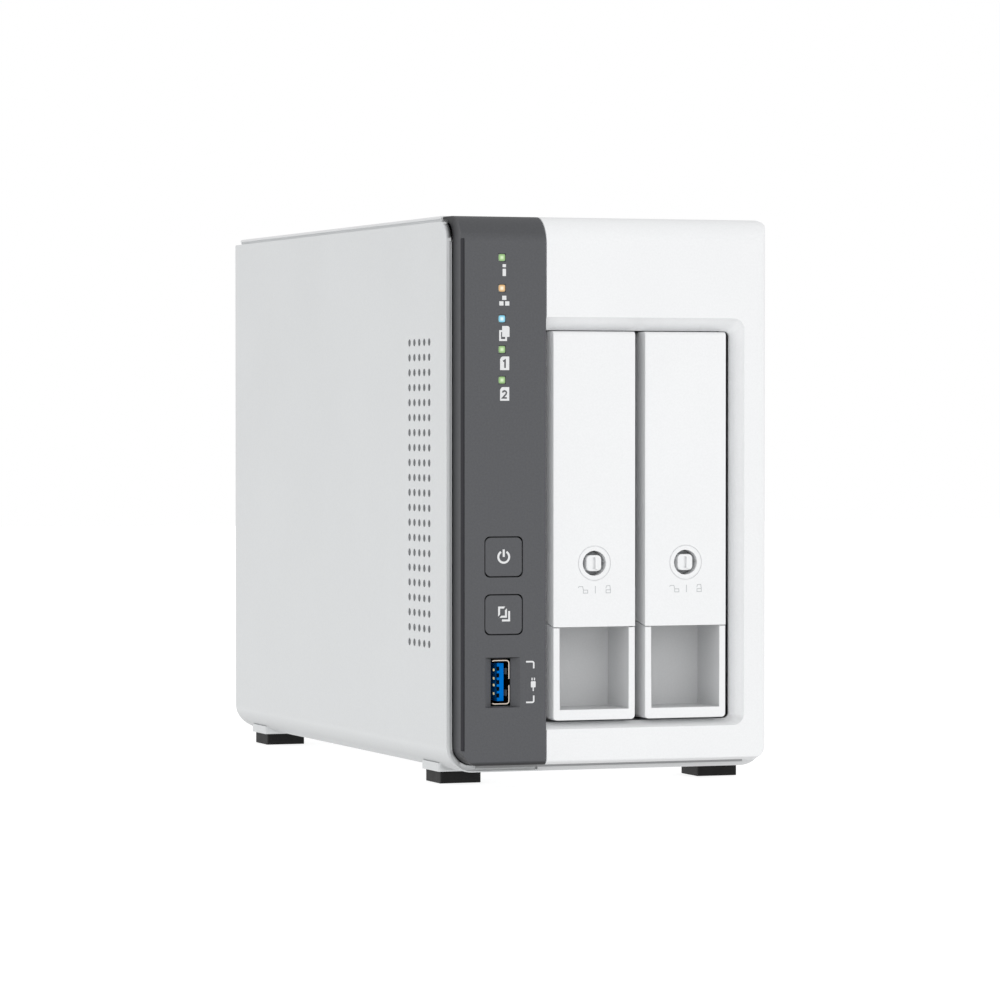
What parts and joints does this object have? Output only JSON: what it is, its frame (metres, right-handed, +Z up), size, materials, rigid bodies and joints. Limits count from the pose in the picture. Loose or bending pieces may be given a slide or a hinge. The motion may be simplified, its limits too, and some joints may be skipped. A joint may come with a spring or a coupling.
{
  "type": "network attached storage",
  "caption": "Upright desktop network storage box with slide-out drive trays, swing levers, key locks, a lit control column and a rear fan.",
  "frame": {"origin": "centre of the footprint, on the surface that the rubber feet stand on", "axes": "+X to the right seen from the front, +Y from the front to the back, +Z up"},
  "size_m": [0.102, 0.2216, 0.1688],
  "materials": {
    "white_plastic": "satin moulded shell",
    "cool_grey_plastic": "satin moulded cover",
    "charcoal_plastic": "fine-grained moulding",
    "black_plastic": "plain moulding",
    "light_guide_acrylic": "clear moulded light guide",
    "plated_steel": "nickel plated",
    "galvanised_steel": "galvanised sheet",
    "circuit_board": "green solder mask on glass-fibre laminate",
    "blue_insert": "bright blue moulding",
    "heatsink_aluminium": "extruded",
    "drive_aluminium": "cast case with a pressed lid",
    "foot_rubber": "matte"
  },
  "bodies": {
    "chassis": {"side_cover": "cool_grey_plastic", "main_shell": "white_plastic", "front_bezel": "white_plastic", "control_panel": "charcoal_plastic", "power_switch": "black_plastic", "copy_switch": "black_plastic", "led_light_guide": "light_guide_acrylic", "front_usb_shell": "plated_steel", "front_usb_insert": "blue_insert", "cage_left_wall": "galvanised_steel", "cage_divider": "galvanised_steel", "cage_right_wall": "galvanised_steel", "cage_top_plate": "galvanised_steel", "cage_floor_plate": "galvanised_steel", "base_pan": "galvanised_steel", "main_board": "circuit_board", "cpu_heatsink": "heatsink_aluminium", "clock_battery": "plated_steel", "front_board": "circuit_board", "backplane_board": "circuit_board", "sata_connector_1": "black_plastic", "sata_connector_2": "black_plastic", "back_panel": "galvanised_steel", "fan_frame": "black_plastic", "lan_port_1": "plated_steel", "lan_port_2": "plated_steel", "rear_usb_shell_1": "plated_steel", "rear_usb_shell_2": "plated_steel", "rear_usb_insert_1": "black_plastic", "rear_usb_insert_2": "black_plastic", "dc_jack": "black_plastic", "front_left_foot": "foot_rubber", "front_right_foot": "foot_rubber", "back_left_foot": "foot_rubber", "back_right_foot": "foot_rubber", "fan_screw_1": "plated_steel", "fan_screw_2": "plated_steel", "fan_screw_3": "plated_steel", "fan_screw_4": "plated_steel", "cover_screw_1": "plated_steel", "cover_screw_2": "plated_steel"},
    "power_key": {"power_button": "charcoal_plastic"},
    "copy_key": {"copy_button": "charcoal_plastic"},
    "reset_key": {"reset_button": "black_plastic"},
    "fan": {"fan_rotor": "black_plastic"},
    "tray_1": {"tray_frame_1": "white_plastic", "lever_hinge_pin_1": "plated_steel", "hard_drive_1": "drive_aluminium", "lower_drive_clip_1": "black_plastic", "upper_drive_clip_1": "black_plastic"},
    "lever_1": {"tray_lever_1": "white_plastic"},
    "lock_1": {"lock_knob_1": "white_plastic"},
    "tray_2": {"tray_frame_2": "white_plastic", "lever_hinge_pin_2": "plated_steel", "hard_drive_2": "drive_aluminium", "lower_drive_clip_2": "black_plastic", "upper_drive_clip_2": "black_plastic"},
    "lever_2": {"tray_lever_2": "white_plastic"},
    "lock_2": {"lock_knob_2": "white_plastic"}
  },
  "joints": [
    {"name": "tray_1_slide", "type": "slide", "parent": "chassis", "child": "tray_1", "axis": [0, -1, 0], "range_m": [0, 0.165]},
    {"name": "lever_1_hinge", "type": "hinge", "parent": "tray_1", "child": "lever_1", "pos_m": [-0.0068, -0.1061, 0.1312], "axis": [-1, 0, 0], "range_deg": [0, 25]},
    {"name": "lock_1_turn", "type": "hinge", "parent": "lever_1", "child": "lock_1", "pos_m": [-0.0068, -0.108, 0.0659], "axis": [0, 1, 0], "range_deg": [0, 90]},
    {"name": "tray_2_slide", "type": "slide", "parent": "chassis", "child": "tray_2", "axis": [0, -1, 0], "range_m": [0, 0.165]},
    {"name": "lever_2_hinge", "type": "hinge", "parent": "tray_2", "child": "lever_2", "pos_m": [0.0224, -0.1061, 0.1312], "axis": [-1, 0, 0], "range_deg": [0, 25]},
    {"name": "lock_2_turn", "type": "hinge", "parent": "lever_2", "child": "lock_2", "pos_m": [0.0224, -0.108, 0.0659], "axis": [0, 1, 0], "range_deg": [0, 90]},
    {"name": "power_press", "type": "slide", "parent": "chassis", "child": "power_key", "axis": [0, 1, 0], "range_m": [0, 0.0008], "stiffness_N_per_m": 600},
    {"name": "copy_press", "type": "slide", "parent": "chassis", "child": "copy_key", "axis": [0, 1, 0], "range_m": [0, 0.0008], "stiffness_N_per_m": 600},
    {"name": "reset_press", "type": "slide", "parent": "chassis", "child": "reset_key", "axis": [0, -1, 0], "range_m": [0, 0.0005], "stiffness_N_per_m": 400},
    {"name": "fan_spin", "type": "hinge", "parent": "chassis", "child": "fan", "pos_m": [0.005, 0.0936, 0.122], "axis": [0, 1, 0], "continuous": true}
  ]
}
